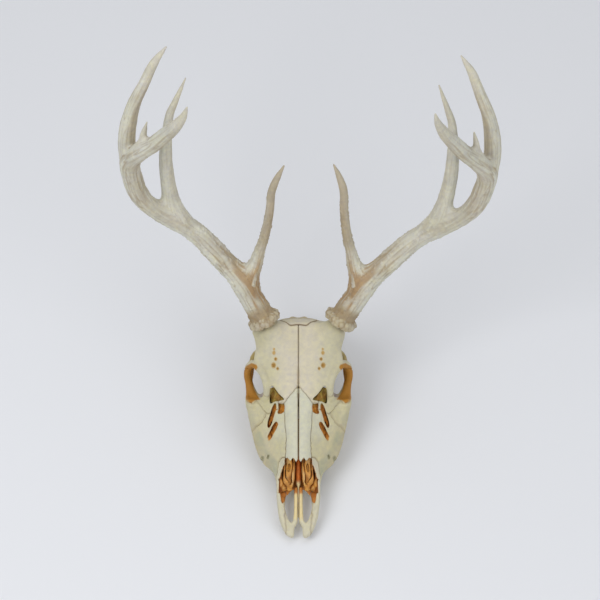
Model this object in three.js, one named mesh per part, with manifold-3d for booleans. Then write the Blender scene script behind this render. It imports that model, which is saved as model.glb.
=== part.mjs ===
// The skull of an adult white-tailed buck with its ten-point antlers and without its lower jaw, in
// millimetres. +Z is up, the nose points to -Y, and the skull rests on its cheek teeth and on the two
// processes beside its neck joint. Left and right are the animal's own, so left is +X. Along the skull, y is
// first counted back from the tip of the nose; the last lines move the whole so that its box is centred over
// the origin.
import * as THREE from "three";
import { LoftGeometry } from "three/addons/geometries/LoftGeometry.js";
import { mergeVertices } from "three/addons/utils/BufferGeometryUtils.js";
import Module from "manifold-3d";

const wasm = await Module();
wasm.setup();

// ---- driving dimensions ---------------------------------------------------------------------------------
const SUTURE = 0.3; // gap between two neighbouring bones
const SKULL_LENGTH = 251; // tip of the nose to the back of the neck joint
const NASAL_TIP = 64; // y where the nasal bones end over the nose opening
const NASAL_HALF_WIDTH = 13;
const NASAL_ROOT = 137; // y where the nasal bones run out between the frontals
const CORONAL_Y = 197; // y of the suture behind the forehead, on the midline
const LAMBDOID_Y = 231; // y of the suture in front of the nape
const ORBIT = { x: 42, y: 151, z: 68, ring: 20, tube: 4, out: 0.86, back: -0.44, up: 0.24 };
const TOOTH_ROW = { front: 84, back: 152, firstX: 25.5, lastX: 31.2, width: 13, crown: 11 };
const TEETH = 6; // three premolars and three molars on each side
const ROOT = 3; // how far a tooth stands in the bone above it
// The rack's origin, out from the midline on each side, and the bony stalk below it.
const PEDICLE = { left: 43.7, right: 35.4, y: 200.5, z: 112, radius: 14, length: 28 };
const RACK_PITCH = 32; // degrees that the plane of the antlers leans up from the level behind the skull
const LEAN = { left: 4.7, right: 0 }; // degrees that each antler leans further out than its lines below
const PALATE_FRONT = 53; // y where the upper jaws' palate begins, behind the two openings of the nose's tip
const PREMAXILLA_END = 44; // y where the outer bars of the premaxillae meet the upper jaws
const FRONT_HALF_GAP = 0.8; // half of the slit between the two inner bars of the premaxillae

// ---- finishes -------------------------------------------------------------------------------------------
const finish = (color, roughness) => new THREE.MeshStandardMaterial({ color, roughness, metalness: 0 });
const BONE = finish(0xd3cbb0, 0.62);
const PALE_BONE = finish(0xcfcfbc, 0.6);
const STAINED_BONE = finish(0xa66a2c, 0.7);
const ANTLER = finish(0xb6ad96, 0.66);
const ANTLER_TIP = finish(0xcbc6b2, 0.5);

// ---- solids ---------------------------------------------------------------------------------------------
// A three.js geometry as a solid for joining and cutting. One that comes inside out is turned round.
function solid(geometry) {
  const bare = new THREE.BufferGeometry();
  bare.setAttribute("position", geometry.getAttribute("position"));
  bare.setIndex(geometry.index);
  const merged = mergeVertices(bare, 1e-4);
  const vertProperties = merged.getAttribute("position").array;
  const triVerts = new Uint32Array(merged.index.array);
  const made = new wasm.Manifold(new wasm.Mesh({ numProp: 3, vertProperties, triVerts }));
  if (made.volume() > 0) return made;
  return new wasm.Manifold(new wasm.Mesh({ numProp: 3, vertProperties, triVerts: triVerts.reverse() }));
}

const join = (...solids) => solids.reduce((whole, next) => whole.add(next));
const mirrored = (one) => one.mirror([1, 0, 0]);
const pair = (one) => one.add(mirrored(one));

// The largest connected body of a cut without the slivers and the needless corners that a cut can leave.
const SLIGHT = 0.06;
function mainBody(cut) {
  const largest = cut.decompose().reduce((best, next) => (next.volume() > best.volume() ? next : best));
  return largest.simplify(SLIGHT);
}

function meshOf(name, one, material) {
  const { numProp, numVert, vertProperties, triVerts } = one.getMesh();
  const position = new Float32Array(numVert * 3);
  for (let i = 0; i < numVert; i++) {
    position.set(vertProperties.subarray(i * numProp, i * numProp + 3), i * 3);
  }
  const geometry = new THREE.BufferGeometry();
  geometry.setAttribute("position", new THREE.BufferAttribute(position, 3));
  geometry.setIndex(new THREE.BufferAttribute(triVerts, 1));
  geometry.computeVertexNormals();
  const mesh = new THREE.Mesh(geometry, material);
  mesh.name = name;
  return mesh;
}

function ellipsoid([x, y, z], [rx, ry, rz], sides = 12) {
  return solid(new THREE.SphereGeometry(1, sides, sides / 2).scale(rx, ry, rz).translate(x, y, z));
}

// A closed skin over rings that all have the same number of points.
const loft = (rings) => solid(new LoftGeometry(rings, { capStart: true, capEnd: true }));

// Rounded rings across the skull: each has its y, half width, top and bottom, and they are joined in order.
function barrel(stations, sides = 12) {
  return loft(
    stations.map(({ y, half, top, bottom }) =>
      Array.from({ length: sides }, (_, i) => {
        const turn = (i / sides) * Math.PI * 2;
        const middle = (top + bottom) / 2;
        return new THREE.Vector3(-half * Math.cos(turn), y, middle + ((top - bottom) / 2) * Math.sin(turn));
      }),
    ),
  );
}

// A bar of oval section along a smooth line, thickened by a margin: points are [x, y, z, width, height].
function strap(points, steps = 7, sides = 6, margin = 0) {
  const line = new THREE.CatmullRomCurve3(points.map((p) => new THREE.Vector3(...p)));
  const sizeAt = (t, which) => {
    const place = t * (points.length - 1);
    const before = Math.min(Math.floor(place), points.length - 2);
    const [start, end] = [points[before][which], points[before + 1][which]];
    return THREE.MathUtils.lerp(start, end, place - before) + 2 * margin;
  };
  const rings = [];
  for (let i = 0; i <= steps; i++) {
    const t = i / steps;
    const across = line.getTangent(t).cross(new THREE.Vector3(0, 0, 1)).normalize();
    const upright = across.clone().cross(line.getTangent(t)).normalize();
    rings.push(
      Array.from({ length: sides }, (_, k) => {
        const turn = (k / sides) * Math.PI * 2;
        return line
          .getPoint(t)
          .addScaledVector(across, (-sizeAt(t, 3) / 2) * Math.cos(turn))
          .addScaledVector(upright, (sizeAt(t, 4) / 2) * Math.sin(turn));
      }),
    );
  }
  return loft(rings);
}

// An outline, moved outwards by a margin, as a prism: seen from above, its points are [x, y] and it spans z;
// seen from the side, they are [y, z] and it spans x.
function prism(view, outline, low, high, margin = 0) {
  const turnsLeft = THREE.ShapeUtils.area(outline.map((p) => new THREE.Vector2(...p))) > 0;
  const points = turnsLeft ? outline : [...outline].reverse();
  const moved = points.map((point, i) => {
    const here = new THREE.Vector2(...point);
    const before = new THREE.Vector2(...points.at(i - 1));
    const after = new THREE.Vector2(...points[(i + 1) % points.length]);
    const a = here.clone().sub(before).normalize();
    const b = after.sub(here).normalize();
    const out = new THREE.Vector2(a.y + b.y, -a.x - b.x).normalize();
    return here.addScaledVector(out, margin / Math.max(0.5, out.dot(new THREE.Vector2(a.y, -a.x))));
  });
  const depth = high - low + 2 * margin;
  const block = new THREE.ExtrudeGeometry(new THREE.Shape(moved), { depth, bevelEnabled: false });
  block.translate(0, 0, low - margin);
  const sideways = new THREE.Matrix4().set(0, 0, 1, 0, 1, 0, 0, 0, 0, 1, 0, 0, 0, 0, 0, 1);
  if (view === "side") block.applyMatrix4(sideways);
  return solid(block);
}

// ---- the face: muzzle, cheeks and nose ------------------------------------------------------------------
// One ring across the face, from the crest of the nose over the cheek and the gum to the palate.
function faceRing({ y, crest, roof, shoulder, cheek, cheekZ, gum, gumZ, palate }) {
  const side = [
    [roof, shoulder],
    [roof + (cheek - roof) * 0.55, THREE.MathUtils.lerp(shoulder, cheekZ, 0.46)],
    [cheek, cheekZ],
    [gum, gumZ],
    [gum * 0.72, gumZ],
    [gum * 0.6, palate],
  ];
  const left = side.map(([x, z]) => new THREE.Vector3(x, y, z));
  const right = side.map(([x, z]) => new THREE.Vector3(-x, y, z)).reverse();
  return [new THREE.Vector3(0, y, crest), ...left, new THREE.Vector3(0, y, palate), ...right];
}

const FACE = [
  { y: PREMAXILLA_END, crest: 49, roof: 11, shoulder: 44, cheek: 21.5, cheekZ: 24, gum: 21, gumZ: 13, palate: 14 },
  { y: 60, crest: 57, roof: 11.6, shoulder: 52, cheek: 23, cheekZ: 28, gum: 22, gumZ: 12.5, palate: 14.5 },
  { y: 69, crest: 60.5, roof: 12, shoulder: 55, cheek: 27.5, cheekZ: 28, gum: 23, gumZ: 12, palate: 14.5 },
  { y: 75, crest: 62.5, roof: 12.3, shoulder: 57, cheek: 34, cheekZ: 27, gum: 25, gumZ: 11, palate: 15 },
  { y: 84, crest: 66, roof: 12.7, shoulder: 60.5, cheek: 39.5, cheekZ: 27, gum: 30.5, gumZ: 10, palate: 15.5 },
  { y: 96, crest: 70.5, roof: 13, shoulder: 65, cheek: 44.3, cheekZ: 30, gum: 35, gumZ: 10, palate: 16 },
  { y: 112, crest: 76.5, roof: 14, shoulder: 71, cheek: 47, cheekZ: 35, gum: 37.5, gumZ: 10, palate: 17 },
  { y: 126, crest: 82, roof: 17, shoulder: 77, cheek: 48.5, cheekZ: 40, gum: 37.5, gumZ: 10, palate: 18 },
  { y: 140, crest: 87.5, roof: 25, shoulder: 83, cheek: 43, cheekZ: 46, gum: 36.5, gumZ: 10, palate: 19 },
  { y: 153, crest: 92.5, roof: 30, shoulder: 87, cheek: 33, cheekZ: 55, gum: 32, gumZ: 14, palate: 22 },
];

// The hollow of the nose, a wall's thickness inside the face.
function noseHollow() {
  return barrel([
    { y: 30, half: 18.5, top: 60, bottom: 15 },
    { y: 60, half: 18.5, top: 54.5, bottom: 18.5 },
    { y: 80, half: 20, top: 61, bottom: 19.5 },
    { y: 105, half: 27, top: 69.5, bottom: 21 },
    { y: 130, half: 28, top: 78.5, bottom: 24 },
    { y: 145, half: 20, top: 76, bottom: 30 },
  ]);
}

// What stands in front of the slanting edge of the nose opening, and the open middle of the palate's front
// with its two rounded ends.
function noseOpening() {
  const slant = [[20, 30], [44, 19], [58, 34], [NASAL_TIP + 2, 52], [NASAL_TIP - 1, 80], [20, 80]];
  const edge = [[14, 30], [13.6, 44], [12, 48], [8.5, 52], [4.6, PALATE_FRONT]];
  const notch = [...edge, ...edge.map(([x, y]) => [-x, y]).reverse()];
  return prism("side", slant, -40, 40).add(prism("above", notch, 0, 30));
}

// The gaps in the wall between nose and eye, on the left: outlines seen from above.
function cheekGaps() {
  const outlines = [
    [[27.5, 140], [30, 124], [17, 124.5]],
    [[24, 121.5], [28, 120.5], [33.5, 103], [29.5, 101.5]],
    [[22.5, 99.5], [26, 100.5], [32, 87], [28.5, 85.5]],
  ];
  return join(...outlines.map((outline) => prism("above", outline, 48, 96)));
}

function cheekTeeth() {
  const pitch = (TOOTH_ROW.back - TOOTH_ROW.front) / TEETH;
  const teeth = Array.from({ length: TEETH }, (_, i) => {
    const t = i / (TEETH - 1);
    const x = THREE.MathUtils.lerp(TOOTH_ROW.firstX, TOOTH_ROW.lastX, 1 - (1 - t) ** 2);
    const size = THREE.MathUtils.lerp(0.76, 1, t); // the front teeth are smaller
    const shape = new THREE.CylinderGeometry(1, 0.94, TOOTH_ROW.crown + ROOT, 8);
    shape.rotateX(Math.PI / 2).rotateZ(Math.PI / 8).scale((TOOTH_ROW.width / 2) * size, pitch * 0.53, 1);
    return solid(shape.translate(x, TOOTH_ROW.front + pitch * (i + 0.5), (TOOTH_ROW.crown + ROOT) / 2));
  });
  return join(...teeth);
}

// ---- forehead, eye rings, arches and braincase ----------------------------------------------------------
// One ring of the forehead's roof: nearly flat above, with a lower edge over each eye.
function roofRing({ y, half, crest, edge, under }) {
  const side = [
    [half * 0.35, crest + 0.4],
    [half * 0.7, THREE.MathUtils.lerp(crest, edge, 0.35)],
    [half, edge],
    [half - 1, edge - 4],
    [half * 0.66, under + 2],
    [half * 0.3, under],
  ];
  const left = side.map(([x, z]) => new THREE.Vector3(x, y, z));
  const right = side.map(([x, z]) => new THREE.Vector3(-x, y, z)).reverse();
  return [new THREE.Vector3(0, y, crest), ...left, new THREE.Vector3(0, y, under), ...right];
}

const ROOF = [
  { y: 128, half: 20, crest: 82.8, edge: 79, under: 70 },
  { y: 139, half: 33, crest: 87.2, edge: 82.5, under: 72 },
  { y: 148, half: 38.5, crest: 91, edge: 84.5, under: 74 },
  { y: 158, half: 44.5, crest: 95, edge: 87.5, under: 78 },
  { y: 168, half: 45.6, crest: 99, edge: 91, under: 80 },
  { y: 179, half: 44, crest: 102.8, edge: 94, under: 78 },
  { y: 190, half: 45.8, crest: 105.6, edge: 95.5, under: 76 },
  { y: 199, half: 47, crest: 105.8, edge: 93.5, under: 76 },
  { y: 207, half: 41, crest: 100.6, edge: 88, under: 78 },
];

const BRAINCASE = [
  { y: 138, half: 16, top: 82, bottom: 33 },
  { y: 165, half: 19, top: 92, bottom: 30 },
  { y: 182, half: 30, top: 99, bottom: 29 },
  { y: 200, half: 37, top: 104.6, bottom: 28 },
  { y: 214, half: 37.5, top: 90.5, bottom: 27 },
  { y: 228, half: 33, top: 68, bottom: 28 },
  { y: 238, half: 24, top: 52, bottom: 30 },
];

function eyeRing() {
  const ring = new THREE.TorusGeometry(ORBIT.ring, ORBIT.tube, 5, 14);
  const facing = new THREE.Vector3(ORBIT.out, ORBIT.back, ORBIT.up).normalize();
  ring.applyQuaternion(new THREE.Quaternion().setFromUnitVectors(new THREE.Vector3(0, 0, 1), facing));
  return solid(ring.translate(ORBIT.x, ORBIT.y, ORBIT.z));
}

const eyeSocket = () => ellipsoid([ORBIT.x + 5, ORBIT.y + 1, ORBIT.z], [29, 18, 17.5], 10);

// The cheekbone's arch, from under the eye back to the temple.
const arch = () =>
  strap([
    [41, 118, 40, 9, 16],
    [47.5, 134, 44.5, 7, 13],
    [50.5, 152, 47, 5.5, 11],
    [49.5, 168, 49.5, 5, 10],
    [43, 186, 51, 6, 9],
    [33, 200, 51, 9, 10],
  ]);

// The bony stalk under one antler, square to the antler's foot and a suture's gap below it.
function pedicle(side) {
  const column = new THREE.CylinderGeometry(PEDICLE.radius, PEDICLE.radius + 2.5, PEDICLE.length, 10);
  column.translate(0, -PEDICLE.length / 2 - SUTURE - FOOT_DROP, 0).applyQuaternion(footTurn());
  column.rotateZ(THREE.MathUtils.degToRad(-LEAN[side])).rotateX(THREE.MathUtils.degToRad(RACK_PITCH));
  return solid(column.translate(PEDICLE[side], PEDICLE.y, PEDICLE.z));
}

// ---- nape, neck joint and base of the skull -------------------------------------------------------------
function nape() {
  const crest = barrel([
    { y: 225, half: 32, top: 71, bottom: 38 },
    { y: 231.5, half: 32.6, top: 62.5, bottom: 34 },
    { y: 236.5, half: 28.8, top: 55.5, bottom: 30 },
    { y: 242, half: 20, top: 48.5, bottom: 28 },
  ]);
  const joint = ellipsoid([12.5, SKULL_LENGTH - 11, 29], [8.5, 11, 10], 8);
  const tunnel = new THREE.CylinderGeometry(8, 8.8, 40, 10);
  return crest.add(pair(joint)).subtract(solid(tunnel.translate(0, 244, 36.5)));
}

// The process beside the neck joint that the back of the skull rests on, cut flat at the bottom.
const restingProcess = () =>
  strap([[25, 226, 46, 13, 16], [26, 232, 26, 8, 13], [25.5, 236, 10, 5.5, 9], [25, 237.5, -4, 5, 8]], 5, 6);

const earCapsule = () => ellipsoid([19, 213, 25], [8, 12.5, 11], 8);
const earTube = () => strap([[20, 214, 33, 12, 12], [36, 219, 36, 10, 10], [41, 221, 38, 9, 9]], 3, 6);
const baseBar = () => strap([[0, 172, 33, 18, 12], [0, 200, 30, 22, 12], [0, 244, 30, 26, 12]], 4);
const pterygoid = () => strap([[13, 146, 27, 5, 26], [12, 162, 25, 4, 22], [11, 178, 25, 4, 14]], 3, 6);

// ---- premaxillae, the two bones at the tip of the nose --------------------------------------------------
// Seen from above each is a fork: a thin inner bar on the midline and a stronger one outside it.
function premaxilla() {
  const shape = new THREE.Shape();
  shape.moveTo(4.6, 0.8);
  shape.bezierCurveTo(8, -1, 13, 2, 15.6, 9);
  shape.bezierCurveTo(18, 16, 20, 24, 21.3, 34);
  shape.lineTo(22.4, PREMAXILLA_END - SUTURE);
  shape.lineTo(13.6, PREMAXILLA_END - SUTURE);
  shape.bezierCurveTo(15, 34, 13, 25, 9.6, 16);
  shape.lineTo(6.2, 16.5);
  shape.bezierCurveTo(4.6, 24, 4.4, 34, 4.4, PALATE_FRONT - SUTURE);
  shape.lineTo(FRONT_HALF_GAP, PALATE_FRONT - SUTURE);
  shape.lineTo(FRONT_HALF_GAP + 0.6, 17);
  shape.lineTo(4.2, 11);
  const flat = { depth: 1, steps: 1, curveSegments: 4, bevelEnabled: false };
  const plate = new THREE.ExtrudeGeometry(shape, flat);
  const place = plate.getAttribute("position");
  for (let i = 0; i < place.count; i++) {
    const [x, y] = [place.getX(i), place.getY(i)];
    const outside = THREE.MathUtils.smoothstep(x, 4.4, 16) * y;
    const bottom = 6 + 0.17 * y - 0.02 * outside;
    place.setZ(i, bottom + place.getZ(i) * (5.5 + 0.07 * y + 0.16 * outside));
  }
  return solid(plate).add(premaxillaWing(0));
}

// The part of the premaxilla that climbs the edge of the nose opening.
function premaxillaWing(margin) {
  const line = [[19.5, 30, 17, 5, 9], [20.5, 45, 30, 3.6, 12], [19, 57, 43, 3, 11], [15.5, 66, 52, 2.6, 8]];
  return strap(line, 5, 6, margin);
}

// ---- inside the nose ------------------------------------------------------------------------------------
const vomer = () =>
  strap([[0, 54, 24, 3, 6], [0, 70, 28, 3, 14], [0, 95, 33, 3, 22], [0, 118, 37, 3, 26]], 4, 6);
const turbinate = () =>
  strap([[9.5, 48, 28, 7, 6], [10, 58, 33, 12, 18], [10.2, 80, 40, 14, 32], [10.5, 112, 46, 13, 36]], 6, 8);

// ---- the skull in one, then parted into its bones -------------------------------------------------------
function wholeSkull() {
  const face = loft(FACE.map(faceRing)).subtract(noseOpening());
  const bones = join(
    face,
    loft(ROOF.map(roofRing)),
    barrel(BRAINCASE),
    pair(join(eyeRing(), arch(), restingProcess(), earCapsule(), earTube(), pterygoid())),
    pedicle("left"),
    mirrored(pedicle("right")),
    baseBar(),
    nape(),
  );
  const throat = barrel([
    { y: 146, half: 9, top: 30, bottom: 6 },
    { y: 166, half: 9, top: 26, bottom: 6 },
    { y: 182, half: 8, top: 24, bottom: 6 },
  ]);
  const floor = prism("above", [[-80, -20], [80, -20], [80, 320], [-80, 320]], -40, 0);
  const brow = ellipsoid([25, 152, 94.5], [2.2, 3, 5], 6);
  const besideMiddle = pair(join(eyeSocket(), cheekGaps(), brow, premaxillaWing(SUTURE)));
  const carved = bones.subtract(join(noseHollow(), throat, besideMiddle));
  return carved.add(eyeRims()).add(pair(cheekTeeth())).subtract(floor);
}

// The eye rings again, after the sockets have been cut through them.
const eyeRims = () => pair(eyeRing().subtract(noseHollow()));

// Takes the bones from the skull one after another, so that each leaves the next a suture's gap.
function part(whole) {
  const half = prism("above", [[SUTURE / 2, -20], [80, -20], [80, 320], [SUTURE / 2, 320]], -10, 160);
  const above = (outline, low, high) => (margin) => prism("above", outline, low, high, margin);
  const fromSide = (outline, low, high) => (margin) => prism("side", outline, low, high, margin);
  const both = (one, other) => (margin) => one(margin).intersect(other(margin));

  const nasalEdge = [NASAL_HALF_WIDTH + 0.8, 121]; // where nasal, frontal and upper jaw meet
  const nasalPlan = [[-5, 40], [NASAL_HALF_WIDTH - 1, 40], nasalEdge, [0, NASAL_ROOT], [-5, NASAL_ROOT]];
  const foreheadPlan = [
    [-5, NASAL_ROOT + 1], [0, NASAL_ROOT], nasalEdge, [60, 135], [60, 213], [24, 211], [9, CORONAL_Y],
    [-5, CORONAL_Y],
  ];
  const foreheadSide = [
    [115, 71], [134, 74], [146, 78], [166, 72], [170, 62], [177, 62], [186, 74], [214, 84], [214, 140],
    [115, 140],
  ];
  const tearPlan = [[20, 118], [60, 118], [60, 149], [20, 149]];
  const tearSide = [[112, 60], [140, 56], [149, 66], [149, 90], [112, 90]];
  const cheekPlan = [[33, 108], [70, 108], [70, 186], [33, 178]];
  const cheekSide = [[108, 30], [128, 34], [190, 40], [183, 60], [176, 75], [150, 70], [118, 58]];
  const upperJawPlan = [[-5, 30], [80, 30], [80, 154], [17.5, 154], [17.5, 146], [-5, 146]];
  const regions = {
    nasal: above(nasalPlan, 46, 140),
    frontal: both(above(foreheadPlan, 0, 160), fromSide(foreheadSide, -5, 90)),
    lacrimal: both(above(tearPlan, 0, 160), fromSide(tearSide, 20, 70)),
    zygomatic: both(above(cheekPlan, 0, 160), fromSide(cheekSide, 30, 80)),
    maxilla: above(upperJawPlan, -5, 160),
  };
  const taken = {};
  let halves = { left: whole.intersect(half), right: mirrored(whole).intersect(half) };
  let rest = whole;
  for (const [name, region] of Object.entries(regions)) {
    taken[`${name}_left`] = mainBody(halves.left.intersect(region(0)));
    taken[`${name}_right`] = mirrored(mainBody(halves.right.intersect(region(0))));
    halves = { left: halves.left.subtract(region(SUTURE)), right: halves.right.subtract(region(SUTURE)) };
    rest = rest.subtract(pair(region(SUTURE)));
  }
  const occipitalSide = [
    [LAMBDOID_Y - 6, -5], [LAMBDOID_Y - 6, 50], [LAMBDOID_Y + 3, 60], [LAMBDOID_Y, 120], [280, 120], [280, -5],
  ];
  const temporalSide = [[176, 14], [176, 66], [232, 80], [232, 14]];
  const backRegions = {
    occipital: fromSide(occipitalSide, -60, 60),
    temporal_left: fromSide(temporalSide, 14, 70),
    temporal_right: fromSide(temporalSide, -70, -14),
    parietal: fromSide([[178, 64], [232, 64], [232, 130], [178, 130]], -60, 60),
    sphenoid: fromSide([[120, 0], [232, 0], [232, 100], [120, 100]], -50, 50),
  };
  for (const [name, region] of Object.entries(backRegions)) {
    taken[name] = mainBody(rest.intersect(region(0)));
    rest = rest.subtract(region(SUTURE));
  }
  return taken;
}

// ---- antlers --------------------------------------------------------------------------------------------
// In the rack's own axes: out from the midline, up along the plane of the forehead, and out in front of it.
// Each point is [out, up, front, radius], and a tine's line starts inside the beam.
const BEAM = [
  [-2.1, -3.7, -1.5, 14], [11.2, 19.5, 8, 13.3], [27.5, 45.1, 21, 12.3], [45.3, 64.5, 33, 12.3],
  [64.9, 84.8, 46, 11.7],
  [85.1, 98.9, 60, 10.4], [100.1, 105.9, 71, 10.2], [115.8, 115.7, 87, 10.1], [126.5, 128.5, 107, 10.9],
  [132.3, 145.1, 131, 11.1], [133.1, 159.6, 157, 11.1], [122.3, 167.4, 187, 10], [107.6, 175, 216, 8.8],
  [95.1, 183.7, 243, 8], [84.7, 191.3, 267, 6.5], [77.4, 199.6, 287, 4], [73.2, 208.7, 304, 0.9],
];
const BEAM_PARTS = { beam_base: [0, 6], beam_middle: [6, 11], beam_tip: [11, BEAM.length - 1] };
const TINES = {
  brow_tine: [
    [14.2, 41, 19, 8.7], [8, 58.4, 29, 7.7], [3.9, 71.6, 39, 6], [-0.8, 84.7, 50, 5.3], [-6, 108.9, 69, 4.8],
    [-8.2, 129, 85, 4.5], [-13.4, 142.3, 94, 3.7], [-21.2, 156.4, 104, 0.8],
  ],
  second_tine: [
    [85, 101.9, 62, 9.4], [93.8, 124, 79, 8.9], [97.4, 144.8, 99, 7.9], [98.5, 166.5, 120, 7.1],
    [96.9, 187, 141, 5.8], [93.5, 205.5, 160, 4.5], [88.3, 217.2, 172, 3.5], [76.3, 242.2, 195, 0.8],
  ],
  third_tine: [
    [133.2, 157.7, 155, 9.6], [136.3, 173.4, 165, 9.6], [134.5, 194, 180, 9], [128.5, 214.3, 197, 7.3],
    [118.1, 234.6, 212, 6], [107.4, 254.9, 227, 4.7], [94.7, 270.8, 239, 0.9],
  ],
  fourth_tine: [
    [123.3, 167.9, 185, 7], [120.4, 177.5, 200, 4], [118.1, 186, 212, 3.2], [114.5, 196.5, 227, 0.8],
  ],
};
const BEAM_SIDES = 11;
const FOOT_DROP = 4.5; // from the rack's origin back along the beam to where the antlers grow from the skull
const CUT = SUTURE / 20; // the thin cut between two lengths of the beam, counted in points about 20 mm apart
const BURR_PROFILE = [[0, 0], [14.5, 0], [17.6, 2], [18.2, 5], [16.2, 7.6], [0, 7.6]]; // radius and height

// Turns the upright axis to the direction in which the beam leaves the skull.
function footTurn() {
  const along = new THREE.Vector3(...BEAM[1].slice(0, 3)).normalize();
  return new THREE.Quaternion().setFromUnitVectors(new THREE.Vector3(0, 1, 0), along);
}

// A round branch between two places on its line, counted in points, thickened by a margin.
function branch(points, [from, to], sides, margin = 0) {
  const line = new THREE.CatmullRomCurve3(points.map(([x, y, z]) => new THREE.Vector3(x, y, z)));
  const last = points.length - 1;
  const steps = Math.ceil(to - from);
  let across = new THREE.Vector3(1, 0, 0);
  const rings = [];
  for (let i = 0; i <= steps; i++) {
    const place = from + ((to - from) * i) / steps;
    const before = Math.min(Math.floor(place), last - 1);
    const radius = THREE.MathUtils.lerp(points[before][3], points[before + 1][3], place - before) + margin;
    const along = line.getTangent(place / last);
    across = across.clone().addScaledVector(along, -across.dot(along)).normalize();
    const aside = along.clone().cross(across);
    rings.push(
      Array.from({ length: sides }, (_, k) => {
        const turn = (k / sides) * Math.PI * 2;
        return line
          .getPoint(place / last)
          .addScaledVector(across, radius * Math.cos(turn))
          .addScaledVector(aside, radius * Math.sin(turn));
      }),
    );
  }
  return loft(rings);
}

function antler(side) {
  const group = new THREE.Group();
  const add = (name, one, material = ANTLER) => group.add(meshOf(`${name}_${side}`, one, material));
  const burr = new THREE.LatheGeometry(BURR_PROFILE.map((p) => new THREE.Vector2(...p)), 14);
  const burrTop = BURR_PROFILE.at(-1)[1] - FOOT_DROP;
  const upToBurrTop = new THREE.BoxGeometry(60, 60, 60).translate(0, burrTop + SUTURE - 30, 0);
  const belowBeam = solid(upToBurrTop.applyQuaternion(footTurn()));
  add("burr", solid(burr.translate(0, -FOOT_DROP, 0).applyQuaternion(footTurn())));
  for (const [name, [from, to]] of Object.entries(BEAM_PARTS)) {
    const length = branch(BEAM, [from ? from + CUT : 0, to], BEAM_SIDES);
    add(name, from ? length : length.subtract(belowBeam), name === "beam_tip" ? ANTLER_TIP : ANTLER);
  }
  const cleared = branch(BEAM, [0, BEAM.length - 1], BEAM_SIDES, 2 * SUTURE);
  for (const [name, points] of Object.entries(TINES)) {
    add(name, mainBody(branch(points, [0, points.length - 1], 8).subtract(cleared)));
  }
  return group;
}

// ---- assembly -------------------------------------------------------------------------------------------
const deerSkull = new THREE.Group();
const head = new THREE.Group();
deerSkull.add(head);

for (const [name, bone] of Object.entries(part(wholeSkull()))) {
  head.add(meshOf(name, bone, name.startsWith("nasal") ? PALE_BONE : BONE));
}
const pairs = [["premaxilla", premaxilla(), PALE_BONE], ["turbinate", turbinate(), STAINED_BONE]];
for (const [name, one, material] of pairs) {
  head.add(meshOf(`${name}_left`, one, material));
  head.add(meshOf(`${name}_right`, mirrored(one), material));
}
head.add(meshOf("vomer", vomer(), STAINED_BONE));

for (const [side, sign] of [["left", 1], ["right", -1]]) {
  const rack = new THREE.Group();
  rack.position.set(sign * PEDICLE[side], PEDICLE.y, PEDICLE.z);
  rack.rotation.x = THREE.MathUtils.degToRad(RACK_PITCH);
  const leaning = antler(side);
  leaning.scale.x = sign;
  leaning.rotation.z = THREE.MathUtils.degToRad(-sign * LEAN[side]);
  rack.add(leaning);
  head.add(rack);
}

const box = new THREE.Box3().setFromObject(deerSkull, true);
const middle = box.getCenter(new THREE.Vector3());
head.position.set(-middle.x, -middle.y, -box.min.z);

export default deerSkull;
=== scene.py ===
# A ten-point white-tailed buck's skull without its lower jaw: bones, antlers, colours, light and camera.
# Shapes are made in millimetres in the skull's own axes: x from the midline to the animal's left, y back
# from the tip of the nose, and z up from the floor. Each bone is a field of distances that becomes a mesh.
import math
from collections import namedtuple
from functools import reduce

import bpy
import numpy as np
import openvdb
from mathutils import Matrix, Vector


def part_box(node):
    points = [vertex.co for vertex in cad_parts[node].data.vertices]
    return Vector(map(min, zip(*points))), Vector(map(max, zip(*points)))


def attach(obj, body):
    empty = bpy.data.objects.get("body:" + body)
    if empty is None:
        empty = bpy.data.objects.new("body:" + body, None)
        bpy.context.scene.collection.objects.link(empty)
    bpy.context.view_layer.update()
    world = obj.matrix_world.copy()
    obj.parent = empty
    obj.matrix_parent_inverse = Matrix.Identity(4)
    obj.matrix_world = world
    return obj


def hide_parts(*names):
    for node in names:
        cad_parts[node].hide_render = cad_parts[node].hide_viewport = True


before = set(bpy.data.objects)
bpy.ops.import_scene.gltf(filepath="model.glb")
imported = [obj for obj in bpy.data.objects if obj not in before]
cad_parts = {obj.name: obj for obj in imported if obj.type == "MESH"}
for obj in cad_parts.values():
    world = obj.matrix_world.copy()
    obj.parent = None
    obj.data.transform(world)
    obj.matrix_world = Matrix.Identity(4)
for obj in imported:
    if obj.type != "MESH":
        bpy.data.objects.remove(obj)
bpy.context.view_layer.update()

# ---- where the skull's own axes lie in the frame ----
SUTURE = 0.3  # gap between two neighbouring bones
NOSE_TIP_Y = 0.34  # y of the foremost point of the premaxillae
midline = (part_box("nasal_left")[0][0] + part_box("nasal_right")[1][0]) / 2
ORIGIN = np.array([midline * 1000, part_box("premaxilla_left")[0][1] * 1000 - NOSE_TIP_Y, 0])


def unit(vector):
    vector = np.array(vector, float)
    return vector / np.linalg.norm(vector)


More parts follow.
